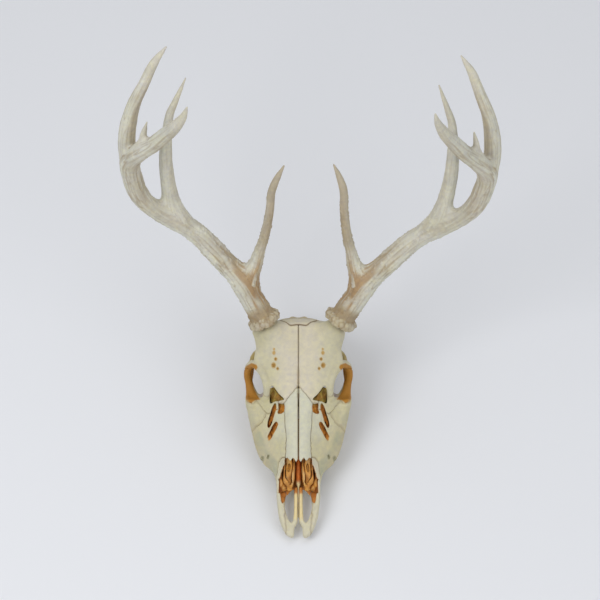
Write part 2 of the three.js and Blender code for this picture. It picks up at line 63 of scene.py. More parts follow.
# ---- driving sizes ----
VIEW_ELEVATION = math.radians(58)  # the camera looks down on the forehead at this angle
UP = (math.sin(VIEW_ELEVATION), math.cos(VIEW_ELEVATION))  # the picture's upward direction, in y and z
NOSE_HEIGHT = 5.3  # how far up the picture the tip of the nose is from the skull's origin
BONE_CELL, ANTLER_CELL = 0.8, 0.75  # the size of a field's cells
FAR = 99.0  # a field's distance where nothing is near
BAND = 3.0  # distances beyond this don't matter to a surface
NASAL_ROOT, CORONAL_Y, LAMBDOID_Y = 137.0, 197.0, 231.0  # y of the sutures across the skull's roof
SKULL_LENGTH = 251.0
PALATE_FRONT = 53.0
ORBIT, ORBIT_FACING = np.array([42.0, 151.0, 68.0]), unit([0.86, -0.44, 0.24])
ORBIT_RING, ORBIT_TUBE = 20.0, 4.1  # the radius of the ring round the eye, and of its bone
PEDICLE = {"left": 43.7, "right": 35.4, "y": 200.5, "z": 112.0, "length": 28.0}  # the antlers' stalks
RACK_PITCH = math.radians(32)  # the antlers' own upward axis rises this much from straight back
LEAN = {"left": math.radians(4.7), "right": 0.0}
FOOT_DROP = 4.5  # from the rack's origin back along the beam to where the antlers grow from the skull
TOOTH_ROW = {"front": 84.0, "back": 152.0, "first_x": 25.5, "last_x": 31.2, "width": 13.0}


# ---- small tools ----
def srgb(red, green, blue):
    """A colour given as 0 to 255 on a screen, as the linear colour that Blender works in."""
    levels = np.array([red, green, blue]) / 255
    return np.where(levels < 0.04045, levels / 12.92, ((levels + 0.055) / 1.055) ** 2.4)


def step(value, low, high):
    """0 below low, 1 above high and smooth between."""
    t = np.clip((value - low) / (high - low), 0, 1)
    return t * t * (3 - 2 * t)


def fade(value, low, high):
    """1 below low, 0 above high and smooth between."""
    return 1 - step(value, low, high)


def noise(points, size, seed):
    """Smooth noise from -1 to 1 at each point, on a lattice with cells of the given size."""
    table = np.random.default_rng(seed).random((32, 32, 32), dtype=np.float32) * 2 - 1
    place = np.asarray(points) / size
    base = np.floor(place).astype(np.int64)
    part = place - base
    part = part * part * (3 - 2 * part)
    total = np.zeros(len(part))
    for corner in np.ndindex(2, 2, 2):
        weight = np.prod(np.where(corner, part, 1 - part), axis=1)
        spot = (base + corner) % 32
        total += weight * table[spot[:, 0], spot[:, 1], spot[:, 2]]
    return total


def smooth_min(a, b, blend):
    """The lesser of two distances, rounded over where they are closer than blend."""
    if blend <= 0:
        return np.minimum(a, b)
    share = np.clip(0.5 + 0.5 * (b - a) / blend, 0, 1)
    return b * (1 - share) + a * share - blend * share * (1 - share)


def hermite(places, knots, values):
    """A smooth curve through values at knots, read at places."""
    knots, values = np.asarray(knots, float), np.asarray(values, float)
    slopes = np.gradient(values, knots, axis=0)
    i = np.clip(np.searchsorted(knots, places, side="right") - 1, 0, len(knots) - 2)
    gap = knots[i + 1] - knots[i]
    t = (places - knots[i]) / gap
    shape = (-1,) + (1,) * (values.ndim - 1)
    t, gap = t.reshape(shape), gap.reshape(shape)
    return (
        (2 * t**3 - 3 * t**2 + 1) * values[i]
        + (t**3 - 2 * t**2 + t) * gap * slopes[i]
        + (3 * t**2 - 2 * t**3) * values[i + 1]
        + (t**3 - t**2) * gap * slopes[i + 1]
    )


def rounded(outline, cuts=5):
    """A smooth closed outline through the given corners."""
    corners = np.asarray(outline, float)
    before, after, beyond = (np.roll(corners, shift, axis=0) for shift in (1, -1, -2))
    bend = 2 * before - 5 * corners + 4 * after - beyond
    twist = 3 * corners - before - 3 * after + beyond
    places = np.arange(cuts) / cuts
    pieces = [0.5 * (2 * corners + (after - before) * t + bend * t**2 + twist * t**3) for t in places]
    return np.stack(pieces, axis=1).reshape(-1, 2)


def outline_distance(a, b, outline):
    """Distances from places (a, b) to a closed outline, negative inside it."""
    nearest = np.full(np.broadcast(a, b).shape, 1e9, np.float32)
    inside = np.zeros(nearest.shape, bool)
    for (a1, b1), (a2, b2) in zip(outline, np.roll(outline, -1, axis=0)):
        da, db = a2 - a1, b2 - b1
        t = np.clip(((a - a1) * da + (b - b1) * db) / (da * da + db * db + 1e-12), 0, 1)
        nearest = np.minimum(nearest, (a - a1 - da * t) ** 2 + (b - b1 - db * t) ** 2)
        if db:
            inside ^= ((b1 > b) != (b2 > b)) & (a < da * (b - b1) / db + a1)
    return np.where(inside, -1, 1) * np.sqrt(nearest)


def meet(*distances):
    """The distance to where several shapes overlap."""
    return reduce(np.maximum, distances)


# ---- shapes: a box that holds each, and its distances ----
Shape = namedtuple("Shape", "low high distance")


def boxed(points, reach, distance):
    """A shape in the box round its points, with reach on every side."""
    return Shape(points[:, :3].min(axis=0) - reach, points[:, :3].max(axis=0) + reach, distance)


def ellipsoid(centre, radii):
    centre, radii = np.array(centre, float), np.array(radii, float)

    def distance(*places):
        gaps = [place - c for place, c in zip(places, centre)]
        near = np.sqrt(sum((gap / r) ** 2 for gap, r in zip(gaps, radii)))
        slope = np.sqrt(sum((gap / r**2) ** 2 for gap, r in zip(gaps, radii))) + 1e-6
        return near * (near - 1) / slope

    return Shape(centre - radii, centre + radii, distance)


def beside(start, end, places):
    """A length's direction, how far along it each place is, from 0 to 1, and the offsets from there."""
    along = end[:3] - start[:3]
    shifts = [place - s for place, s in zip(places, start)]
    t = np.clip(sum(shift * a for shift, a in zip(shifts, along)) / (along @ along), 0, 1)
    return along, t, [shift - a * t for shift, a in zip(shifts, along)]


def limb(points):
    """A round limb that tapers from point to point, each [x, y, z, radius]."""
    points = np.array(points, float)

    def distance(*places):
        nearest = np.inf
        for start, end in zip(points, points[1:]):
            _, t, gaps = beside(start, end, places)
            radius = start[3] + (end[3] - start[3]) * t
            nearest = np.minimum(nearest, np.sqrt(sum(g * g for g in gaps)) - radius)
        return nearest

    return boxed(points, points[:, 3].max(), distance)


def strap(points, cuts=4):
    """A bar of oval section along a smooth line, each point [x, y, z, width, height]."""
    points = np.array(points, float)
    last = len(points) - 1
    line = hermite(np.linspace(0, last, cuts * last + 1), np.arange(len(points)), points)

    def distance(*places):
        nearest = np.inf
        for start, end in zip(line, line[1:]):
            along, t, gaps = beside(start, end, places)
            forward = unit(along)
            across = unit(np.cross(forward, (0, 0, 1)))
            axes = (across, np.cross(across, forward), forward)
            sideways, height, ahead = (sum(g * c for g, c in zip(gaps, axis)) for axis in axes)
            half_width, half_height = ((start[i] + (end[i] - start[i]) * t) / 2 for i in (3, 4))
            length = np.sqrt(sideways**2 + height**2 + ahead**2) + 1e-6
            wide, high, deep = sideways / half_width, height / half_height, ahead / half_width
            scaled = np.sqrt(wide**2 + high**2 + deep**2)
            nearest = np.minimum(nearest, length - length / (scaled + 1e-6))
        return nearest

    return boxed(points, points[:, 3:].max() / 2, distance)


def ring(centre, facing, radius, tube):
    centre, facing = np.array(centre, float), np.array(facing, float)

    def distance(*places):
        gaps = [place - c for place, c in zip(places, centre)]
        height = sum(g * f for g, f in zip(gaps, facing))
        flat = np.sqrt(np.maximum(sum(g * g for g in gaps) - height**2, 0))
        return np.sqrt((flat - radius) ** 2 + height**2) - tube

    return Shape(centre - radius - tube, centre + radius + tube, distance)


def prism(view, outline, low, high):
    """An outline as a block: [x, y] from above, [y, z] from the side, or [x, up] in the picture."""
    outline = np.array(outline, float)
    middle, half = (low + high) / 2, (high - low) / 2

    def distance(x, y, z):
        if view == "side":
            a, b, depth = y, z, x
        else:
            a, b, depth = x, y if view == "above" else up_picture(y, z), z
        return np.maximum(outline_distance(a, b, outline), np.abs(depth - middle) - half)

    (a1, b1), (a2, b2) = outline.min(axis=0), outline.max(axis=0)
    if view == "side":
        return Shape(np.array([low, a1, b1]), np.array([high, a2, b2]), distance)
    if view == "picture":
        b1 = (b1 + NOSE_HEIGHT - high * UP[1]) / UP[0]
        b2 = (b2 + NOSE_HEIGHT - low * UP[1]) / UP[0]
    return Shape(np.array([a1, b1, low]), np.array([a2, b2, high]), distance)


def up_picture(y, z):
    """How far up the picture a place is from the tip of the nose."""
    return y * UP[0] + z * UP[1] - NOSE_HEIGHT


def loft(rows, outline, cuts=4):
    """A smooth skin over rows, each its y and the numbers from which outline makes its corners [x, z]."""
    rows = np.array(rows, float)

    def distance(x, y, z):
        result = np.full((x.size, y.size, z.size), FAR, np.float32)
        across, height = x[:, 0, :], z[0, :, :]
        for i, place in enumerate(y[0, :, 0]):
            held = float(np.clip(place, rows[0, 0], rows[-1, 0]))
            corners = rounded(outline(*hermite(np.array([held]), rows[:, 0], rows[:, 1:])[0]), cuts)
            flat = outline_distance(across, height, corners)
            result[:, i, :] = np.maximum(flat, abs(place - held)) if place != held else flat
        return result

    reach = np.abs(rows[:, 1:]).max()
    return Shape(np.array([-reach, rows[0, 0], 0]), np.array([reach, rows[-1, 0], reach]), distance)


class Field:
    """Distances to a surface on a box of cubic cells, negative inside it."""

    def __init__(self, low, high, cell):
        self.cell = cell
        counts = np.ceil((np.array(high) - low) / cell).astype(int) + 1
        self.axes = [(low[i] + cell * np.arange(counts[i])).astype(np.float32) for i in range(3)]
        self.low = [axis[0] for axis in self.axes]
        self.value = np.full(counts, FAR, np.float32)

    def window(self, shape, margin):
        spans = []
        for axis, low, high in zip(self.axes, shape.low, shape.high):
            first = int(np.searchsorted(axis, low - margin))
            spans.append(slice(first, max(first, int(np.searchsorted(axis, high + margin)))))
        x, y, z = (axis[span] for axis, span in zip(self.axes, spans))
        return tuple(spans), (x[:, None, None], y[None, :, None], z[None, None, :])

    def add(self, shape, blend=0.0, sign=1):
        spans, places = self.window(shape, blend + 4 * self.cell)
        if self.value[spans].size:
            self.value[spans] = sign * smooth_min(sign * self.value[spans], shape.distance(*places), blend)

    def cut(self, shape, blend=0.0):
        self.add(shape, blend, -1)

    def near(self, reach):
        """The indices of the cells within reach of the surface or inside it, and their places."""
        cells = np.nonzero(self.value < reach)
        return cells, np.stack([axis[c] for axis, c in zip(self.axes, cells)], axis=1).astype(float)


def sample(field, points):
    """A field's values at the nearest cells."""
    spots = []
    for axis, place in zip(field.axes, points.T):
        spots.append(np.clip(np.rint((place - axis[0]) / field.cell).astype(int), 0, len(axis) - 1))
    return field.value[tuple(spots)]


def surface(value, low, cell):
    """The points and four-sided faces of a field's surface."""
    grid = openvdb.FloatGrid(BAND)
    grid.copyFromArray(np.ascontiguousarray(np.clip(value, -BAND, BAND)))
    points, quads = grid.convertToQuads(0.0)
    return points.astype(float) * cell + low, quads.astype(np.int64)


# ---- the face ----
# y, then the crest's height, roof's half width, shoulder's height, cheek's half width and height, gum's half
# width and height, and the palate's height.
FACE = [
    (14, 20, 8, 18, 17, 11, 15, 8, 9),
    (22, 28, 10, 25, 20, 14, 18, 9, 11),
    (32, 38, 11, 34, 21.2, 18, 20, 11, 13),
    (44, 49, 11, 44, 22, 24, 21, 13, 14),
    (60, 57, 11.6, 52, 23.4, 28, 22, 12.5, 14.5),
    (69, 60.5, 12, 55, 27.5, 28, 23, 12, 14.5),
    (75, 62.5, 12.3, 57, 34, 27, 25, 11, 15),
    (84, 66, 12.7, 60.5, 39.5, 27, 30.5, 10, 15.5),
    (96, 70.5, 13, 65, 44, 30, 35, 10, 16),
    (112, 76.5, 14, 71, 48.4, 35, 37.5, 10, 17),
    (126, 82, 17, 77, 50.6, 40, 37.5, 10, 18),
    (140, 87.5, 25, 83, 46.5, 46, 36.5, 10, 19),
    (153, 92.5, 30, 87, 33, 55, 32, 14, 22),
]


def both_halves(top, side, bottom):
    """A closed outline from its left side, [x, z], and its heights on the midline."""
    return [(0, top), *side, (0, bottom), *[(-x, z) for x, z in reversed(side)]]


def face_outline(crest, roof, shoulder, cheek, cheek_z, gum, gum_z, palate):
    side = [
        (roof * 0.6, crest - 0.5),
        (roof + 0.6, shoulder + 0.5),
        (roof + (cheek - roof) * 0.5, shoulder + (cheek_z - shoulder) * 0.42),
        (roof + (cheek - roof) * 0.86, shoulder + (cheek_z - shoulder) * 0.78),
        (cheek, cheek_z),
        (gum + 1, (cheek_z + gum_z) / 2),
        (gum, gum_z),
        (gum * 0.72, gum_z),
        (gum * 0.6, palate),
    ]
    return both_halves(crest, side, palate)


# Openings in the picture's plane, [x, up the picture], on the animal's left.
VACUITY = [(27.6, 156), (29.4, 138), (24, 139.6), (14.4, 141.5), (20.5, 148)]
SLITS = {
    "upper": [(25.2, 137), (22.6, 133.5), (28.6, 114.2), (31.6, 112.6), (31.2, 119)],
    "lower": [(24.2, 118), (20.8, 115.5), (28.2, 101.6), (31.8, 99.2), (31.4, 104)],
    "notch": [(15.6, 137.6), (14, 134.6), (15.4, 128), (21.4, 127), (20, 131.4), (16.6, 133)],
}
# Pores on brow and cheek, each [x, up the picture, radius], with their depth, the colour of the painted shade
# round them and its lowest z.
PORES = [
    ([(25.5, 176.8, 2.1), (23.4, 183.2, 1.4), (25.2, 189.6, 1.5), (21.4, 173.4, 1.2), (25, 193.4, 1.0)],
     0.8, "pore", 75),
    ([(37.2, 81, 1.7), (37.8, 78.4, 1.7), (31, 83.4, 1.2), (31.6, 81.4, 1.2)], 1.6, "foramen", 20),
]


def pore(x, up, radius, field, depth):
    """A round pit along the camera's line of sight, where that line meets a field's surface."""
    heights = np.arange(115, 20, -0.5)
    backs = (up + NOSE_HEIGHT - heights * UP[1]) / UP[0]
    first = np.argmax(sample(field, np.stack([np.full(len(heights), x), backs, heights], axis=1)) < 0)
    spot = np.array([x, backs[first], heights[first]])
    inward = np.array([0, UP[1], -UP[0]])
    return limb([[*(spot - 6 * inward), radius], [*(spot + depth * inward), radius * 0.7]])


# ---- forehead, braincase, nape and base ----
# y, then half width, the crest's, the edge's and the underside's heights.
ROOF = [
    (126, 18, 82, 78, 70),
    (132, 24, 84.3, 80, 71),
    (139, 32, 87.2, 82.5, 72),
    (148, 38.5, 91, 84.5, 74),
    (158, 44.5, 95, 87.5, 78),
    (168, 45.6, 99, 91, 80),
    (178, 44, 102.5, 94, 78),
    (190, 45.8, 105.6, 95.5, 76),
    (199, 47, 105.8, 93.5, 76),
    (207, 41, 100.6, 88, 78),
]
# y, then half width, top and bottom.
BRAINCASE = [
    (138, 16, 82, 33),
    (165, 19, 92, 30),
    (182, 30, 99, 29),
    (200, 37, 104.2, 28),
    (214, 37.5, 90.5, 27),
    (228, 33, 68, 28),
    (238, 24, 52, 30),
]
NAPE = [(225, 32, 71, 38), (231.5, 32.6, 62.5, 34), (236.5, 28.8, 55.5, 30), (242, 20, 48.5, 28)]


def roof_outline(half, crest, edge, under):
    side = [
        (half * 0.35, crest + 0.5),
        (half * 0.72, crest + (edge - crest) * 0.36),
        (half * 0.93, edge + 1.5),
        (half, edge - 1.5),
        (half - 2, edge - 4),
        (half * 0.66, under + 2),
        (half * 0.3, under),
    ]
    return both_halves(crest, side, under)


def barrel_outline(half, top, bottom):
    middle, height = (top + bottom) / 2, (top - bottom) / 2
    turns = np.arange(12) / 12 * 2 * math.pi
    return [(half * math.cos(t), middle + height * math.sin(t)) for t in turns]


def in_rack(points, side):
    """Points in the rack's axes [out, up, front, ...] in the skull's, both antlers' as if on the left."""
    points = np.array(points, float)
    out, up = points[:, 0], points[:, 1]
    lean = LEAN[side]
    leant_out = out * math.cos(lean) + up * math.sin(lean)
    leant_up = up * math.cos(lean) - out * math.sin(lean)
    placed = points.copy()
    placed[:, 0] = PEDICLE[side] + leant_out
    placed[:, 1] = PEDICLE["y"] + leant_up * math.cos(RACK_PITCH) - points[:, 2] * math.sin(RACK_PITCH)
    placed[:, 2] = PEDICLE["z"] + leant_up * math.sin(RACK_PITCH) + points[:, 2] * math.cos(RACK_PITCH)
    return placed


# ---- the skull's left half, still in one ----
HALF_LOW, HALF_HIGH = (0, -2, -3), (66, 262, 122)
FACE_WALL = 2.2
# The room of the nose, from the side as [y, z], and what is cut away in front of the slanting nose opening.
NOSE_ROOM = [(0, 12), (60, 17), (105, 20), (146, 30), (143, 76), (100, 90), (0, 90)]
NOSE_SLANT = [
    (-9, 40), (26, 24), (44, 20.5), (57, 34), (63.6, 45), (64.6, 51), (60.5, 58), (60.5, 90), (-9, 90),
]
# The two round-ended openings at the tip of the nose, seen from above as [x, y].
PALATE_NOTCH = [
    (0, -5), (14.2, -5), (14.4, 32), (13.6, 40), (11.6, 46.5), (8.4, 51), (5.4, 53.2), (0, PALATE_FRONT),
]
# The zigzag front edge of the nasal bones in the picture, [x, up the picture].
NASAL_EDGE = [
    (-3, 66), (-3, 80.4), (0, 80.4), (2.4, 77.4), (5.4, 82), (8.2, 78.4), (11.4, 82.4), (14, 80), (14, 66),
]


def half_field():
    return Field(HALF_LOW, HALF_HIGH, BONE_CELL)


def crest_height(y):
    """The height of the skull's upper midline."""
    face, roof = np.array(FACE), np.array(ROOF)
    return np.where(y < 139, np.interp(y, face[:, 0], face[:, 1]), np.interp(y, roof[:, 0], roof[:, 2]))


def crest_groove(start, end, depth, width):
    places = np.arange(start, end, 4.0)
    return limb([(0, y, crest_height(y) + width - depth, width) for y in places])


def eye_socket():
    return ellipsoid(ORBIT + (5, 1, 0), (29, 18, 17.5))


def half_skull():
    """Two fields: the skull's left half without its pedicle, and the same before anything hollowed it."""
    skull, whole = half_field(), half_field()
    skull.add(loft(FACE, face_outline))
    whole.value = skull.value.copy()
    room = prism("side", NOSE_ROOM, -28, 28)
    spans, places = skull.window(room, 0)
    hollow = meet(
        skull.value[spans] + FACE_WALL, room.distance(*places), FACE_WALL - eye_socket().distance(*places)
    )
    skull.value[spans] = -smooth_min(-skull.value[spans], hollow, 1)
    skull.cut(prism("side", NOSE_SLANT, -45, 45))
    skull.cut(prism("above", PALATE_NOTCH, 0, 40), 1)
    skull.cut(prism("picture", NASAL_EDGE, 50, 66), 0.5)
    # What is added and then what is cut, each with the width of its blend.
    added = [
        (loft(ROOF, roof_outline), 4),
        (loft(BRAINCASE, barrel_outline), 4),
        (loft(NAPE, barrel_outline), 5),
        (strap([(43, 118, 40, 9, 16), (49.4, 134, 44.5, 7, 13), (51.3, 152, 47, 5.5, 11),
                (49.5, 168, 49.5, 5, 10), (46.6, 190, 52.5, 6.5, 10), (35, 203, 51, 9, 10)]), 4),
        (ellipsoid((48, 139.5, 52), (6.6, 10, 9)), 4),
        (ellipsoid((27, 145, 23), (8.5, 7.5, 15)), 3),
        (strap([(25, 226, 46, 13, 16), (26, 232, 26, 8, 13), (25.5, 236, 10, 5.5, 9),
                (25, 237.5, -4, 5, 8)]), 4),
        (ellipsoid((19, 213, 25), (8, 12.5, 11)), 2),
        (strap([(20, 214, 33, 12, 12), (36, 219, 36, 10, 10), (41, 221, 38, 9, 9)]), 2),
        (strap([(0, 172, 33, 18, 12), (0, 200, 30, 22, 12), (0, 244, 30, 26, 12)]), 4),
        (strap([(13, 146, 27, 5, 26), (12, 162, 25, 4, 22), (11, 178, 25, 4, 14)]), 3),
        (ellipsoid((12.5, SKULL_LENGTH - 11, 29), (8.5, 11, 10)), 3),
    ]
    for shape, blend in added:
        skull.add(shape, blend)
        whole.add(shape, blend)
    skull.cut(eye_socket(), 3)
    skull.add(ring(ORBIT, ORBIT_FACING, ORBIT_RING, ORBIT_TUBE), 3)
    whole.add(ring(ORBIT, ORBIT_FACING, ORBIT_RING, ORBIT_TUBE), 3)
    cuts = [
        (limb([(0, 146, 18, 9), (0, 166, 16, 9), (0, 182, 15, 8)]), 3),
        (limb([(0, 224, 36.5, 7.8), (0, 262, 36.5, 8.8)]), 2),
        (limb([(39, 220, 37.5, 2.6), (48, 223, 39, 3)]), 1),
        (ellipsoid((49, 128, 66), (9, 11, 8)), 4),
        (prism("picture", rounded(VACUITY, 3), 58, 100), 1),
        *[(prism("picture", rounded(outline, 3), 46, 100), 0.6) for outline in SLITS.values()],
        *[(pore(*place, whole, depth), 1) for pores, depth, _, _ in PORES for place in pores],
        (crest_groove(62, NASAL_ROOT, 0.7, 1.2), 0.6),
        (crest_groove(NASAL_ROOT, CORONAL_Y, 0.5, 1.2), 0.6),
    ]
    for shape, blend in cuts:
        skull.cut(shape, blend)
    cells, places = skull.near(BAND)
    skull.value[cells] += 0.35 * noise(places, 15, 11) + 0.2 * noise(places, 5, 12)
    return skull, whole


# ---- the bones ----
# What parts the bones, in the order in which they are taken from the skull: each is where its prisms meet.
REGIONS = {
    "premaxilla": [
        ("side", [(-5, -3), (47, -3), (52, 20), (62, 32), (69.5, 43), (71.5, 50.5), (68, 56.5), (60, 62),
                  (-5, 42)], 13.4, 60),
    ],
    "nasal": [("above", [(-5, 40), (12.2, 40), (13.8, 121), (0, NASAL_ROOT), (-5, NASAL_ROOT)], 46, 140)],
    "frontal": [
        ("above", [(-5, 138), (0, 137), (13.8, 121), (60, 135), (66, 213), (24, 211), (9, CORONAL_Y),
                   (-5, CORONAL_Y)], 0, 160),
        ("side", [(115, 71), (134, 74), (146, 78), (166, 72), (170, 62), (177, 62), (186, 74), (214, 84),
                  (214, 150), (115, 150)], -5, 90),
    ],
    "lacrimal": [
        ("above", [(20, 118), (60, 118), (60, 149), (20, 149)], 0, 160),
        ("side", [(112, 60), (140, 56), (149, 66), (149, 90), (112, 90)], 20, 70),
    ],
    "zygomatic": [
        ("above", [(33, 108), (70, 108), (70, 186), (33, 178)], 0, 160),
        ("side", [(108, 30), (128, 34), (190, 40), (183, 60), (176, 75), (150, 70), (118, 58)], 30, 80),
    ],
    "maxilla": [("above", [(-5, 30), (80, 30), (80, 154), (17.5, 154), (17.5, 146), (-5, 146)], -5, 160)],
    "occipital": [
        ("side", [(225, -5), (225, 50), (234, 60), (LAMBDOID_Y, 120), (280, 120), (280, -5)], -80, 80),
    ],
    "temporal": [("side", [(176, 14), (176, 66), (232, 80), (232, 14)], 14, 80)],
    "parietal": [("side", [(178, 64), (232, 64), (232, 130), (178, 130)], -80, 80)],
    "sphenoid": [("side", [(-9, -9), (300, -9), (300, 160), (-9, 160)], -90, 90)],
}
MIDLINE_BONES = ("occipital", "parietal", "sphenoid")


def region_distances(points):
    """For each place, its distance to every bone's region, with the sutures' wandering in them."""
    wandering = np.stack([noise(points, 7, seed) for seed in (21, 22, 23)], axis=1)
    wandering += 0.5 * np.stack([noise(points, 2.6, seed) for seed in (24, 25, 26)], axis=1)
    x, y, z = (points + wandering).astype(np.float32).T
    return {
        name: np.max([prism(*block).distance(x, y, z) for block in blocks], axis=0)
        for name, blocks in REGIONS.items()
    }


def own_and_taken(name, distances):
    """The distance to a bone's own region, and to all that was taken before it."""
    order = list(REGIONS)
    earlier = [distances[other] for other in order[: order.index(name)]]
    return distances[name], np.min(earlier, axis=0) if earlier else np.full(len(distances[name]), FAR)


def premaxilla_plate():
    """The fork at the tip of the nose: a thin inner bar beside the midline and a stronger one outside it."""
    outline = [
        (0.9, 17), (4.2, 10.6), (4.4, 3), (5.6, 0.7), (8.4, 0.9), (12.6, 3.8), (15.6, 9), (18, 16), (20, 25),
        (21.3, 34), (22.2, 43.6), (13.8, 43.6), (14.8, 34), (13, 25), (10, 17.6), (7.4, 15.4), (5.4, 18),
        (4.6, 26), (4.4, 38), (4.4, 52.6), (0.8, 52.6), (0.8, 34),
    ]

    def distance(x, y, z):
        flat = outline_distance(x, y, np.array(outline, float))
        outside = step(x, 4.4, 16) * y
        bottom = 6 + 0.17 * y - 0.02 * outside
        height = 5.5 + 0.07 * y + 0.16 * outside
        upright = np.abs(z - bottom - height / 2) - height / 2
        return -smooth_min(-flat, -upright, 2.5)

    return Shape(np.array([0, 0, 5]), np.array([23, 53, 26]), distance)


# ---- meshes and colours ----
LIT = 0.945  # how much of a surface's own colour the light and the view show
SCREEN_COLOURS = {
    "forehead": (206, 198, 177), "side": (195, 189, 161), "nasal": (203, 201, 180), "cheek": (201, 194, 160),
    "cheek_shade": (166, 171, 148), "premaxilla": (204, 198, 172), "base": (190, 176, 142),
    "seam": (118, 88, 52), "painted_orbit_shade": (172, 120, 44), "socket": (196, 186, 184), "room": (198, 130, 60),
    "vacuity": (168, 144, 72), "slit": (196, 132, 54), "pore": (182, 146, 80), "foramen": (152, 149, 120),
    "septum": (228, 210, 158), "middle": (200, 115, 46), "turbinate": (206, 148, 72),
    "turbinate_dark": (150, 88, 38), "enamel": (206, 200, 176), "dentine": (126, 92, 52),
    "antler": (196, 190, 172), "groove": (158, 138, 108), "pale_ridge_and_lit_side": (212, 212, 198),
    "tip": (207, 202, 184), "burr": (188, 178, 152), "painted_shade": (162, 128, 86),
}
LOOK = {name: srgb(*levels) for name, levels in SCREEN_COLOURS.items()}
# Outlines in the picture's plane, [x, up the picture]: the crescent of painted ochre shade on the eye ring,
# the painted grey-green shade on the lower corner of the upper jaw, and the pointed end of the nose opening,
# which is also cut out.
CRESCENT = [
    (48.1, 178.7), (43.5, 177), (42.8, 174.5), (45.4, 169.3), (46.9, 160.8), (45.9, 151.5), (42.8, 145.5),
    (39.8, 141.4), (44.7, 140.8), (48.9, 137.7), (52.4, 139.1), (54.8, 143.7), (58, 158), (58, 168),
    (53, 176),
]
CORNER = [(47, 106), (42, 86), (32, 72.5), (23, 64), (21.5, 77), (28, 82), (34.5, 92), (40, 108)]
TAIL = [
    (21, 60), (19.8, 57.5), (19.4, 50), (17.8, 38), (17.2, 35.3), (15.8, 35), (14, 37), (11, 43), (9, 46.5),
    (9, 60),
]
TAIL_FLOOR = 19  # the height down to which the nose opening's pointed end is cut


def mix(colour, *layers):
    """Colours at each place under layers, each a named colour, or colours, and its share from 0 to 1."""
    for other, share in layers:
        share = np.asarray(share)[:, None]
        colour = colour * (1 - share) + (LOOK[other] if isinstance(other, str) else other) * share
    return colour


def plain(name, points):
    return np.tile(LOOK[name], (len(points), 1))


def bone_tint(points, name, whole):
    """A bone's colours: its own, painted grey-green shade on the cheek, brown sutures, painted shade in its
    hollows, on the eye ring and round its pores, and mottling. The points are on the left.
    """
    x, y, z = points.T
    up = up_picture(y, z)
    if name == "nasal":
        colour = plain("nasal", points)
    elif name == "premaxilla":
        colour = mix(plain("premaxilla", points), ("septum", fade(x, 4.5, 6) * step(y, 15, 22)))
    elif name in ("maxilla", "lacrimal", "zygomatic"):
        colour = mix(
            plain("cheek", points),
            ("nasal", 0.7 * fade(x, 20, 30) * step(up, 92, 112)),
            # Painted grey-green shade: a band along the lower corner of the upper jaw and an oval on the
            # cheekbone.
            ("cheek_shade", 0.8 * fade(outline_distance(x, up, CORNER), -1.5, 3)),
            ("cheek_shade", 0.5 * np.exp(-(((x - 49) / 5) ** 2) - ((up - 121) / 9) ** 2)),
        )
    else:
        colour = mix(plain("forehead", points), ("side", step(x + 3 * noise(points, 12, 31), 10, 32)))
    # Painted shade: surfaces cut more than a millimetre below the unhollowed skull, and the cut pointed end
    # of the nose opening, take warm browns; the eye socket's deep part takes a lilac-grey.
    inner = step(-sample(whole, points), 1.0, 1.9)
    if name not in MIDLINE_BONES:
        inner *= step(x, 0.5, 1.3)
    if name == "premaxilla":
        inner *= step(y, 44, 47)
        tail = fade(outline_distance(x, up, TAIL), -0.3, 0.5)
        inner = np.maximum(inner, tail * fade(z, TAIL_FLOOR + 1, TAIL_FLOOR + 2.5))
    # The colours of the hollows' painted shade: orange in the nose's room, olive and orange in its openings,
    # lilac-grey deep in the eye socket and tan at the back.
    hollow = mix(
        plain("room", points),
        ("vacuity", step(up, 132, 137) * fade(up, 158, 162) * fade(x, 32, 36)),
        ("slit", fade(up, 132, 137) * step(y, 90, 96)),
        ("socket", step(-eye_socket().distance(x, y, z), -2.2, -0.8) * step(x, 30, 34)),
        ("base", step(y, 176, 186)),
    )
    # Painted ochre shade on the eye ring and the socket's wall, laid on in the picture's plane.
    edge = np.abs(ring(ORBIT, ORBIT_FACING, ORBIT_RING, 0).distance(x, y, z))
    crescent = outline_distance(x + 0.7 * noise(points, 6, 33), up, CRESCENT)
    orbit_shade = fade(crescent, -0.3, 0.8) * fade(edge, 12.5, 16)
    arch = step(x, 42.5, 44.5) * step(up, 179, 181.5) * fade(up, 188, 192) * fade(z, 62, 70)
    colour = mix(
        colour,
        ("base", 0.85 * fade(z + 4 * noise(points, 10, 32), 24, 56) * step(y, 60, 80)),
        ("base", 0.6 * step(y, 205, 235)),
        (hollow, inner),
        ("painted_orbit_shade", orbit_shade),
        ("vacuity", 0.75 * arch),
    )
    # Painted shade round each pore, in its own colour, fading out a little beyond the pit.
    for pores, _, painted_shade, lowest in PORES:
        for px, pup, radius in pores:
            gap = np.hypot(x - px, (up - pup) * 0.8)
            share = 0.9 * fade(gap, radius * 0.9, radius * 1.4) * step(z, lowest, lowest + 10)
            colour = mix(colour, (painted_shade, share))
    own, taken = own_and_taken(name, region_distances(points))
    seam = np.minimum(np.abs(own), np.abs(taken))
    strength = {"nasal": 0.12, "premaxilla": 0.4}.get(name, 0.2)
    if name in ("frontal", "parietal"):
        strength = strength + 0.55 * step(up, 209, 214)
    colour = mix(colour, ("seam", strength * fade(seam, 0.3, 1.4) * (1 - orbit_shade)))
    if name not in MIDLINE_BONES:
        middle = np.where(up < 148, 0.8, 0.35) * fade(x, 0.3, np.where(up < 148, 1.5, 1.0))
        colour = mix(colour, ("seam", middle * (1 - inner)))
    return colour * (1 + 0.04 * noise(points, 11, 34) + 0.03 * noise(points, 3.5, 35))[:, None]


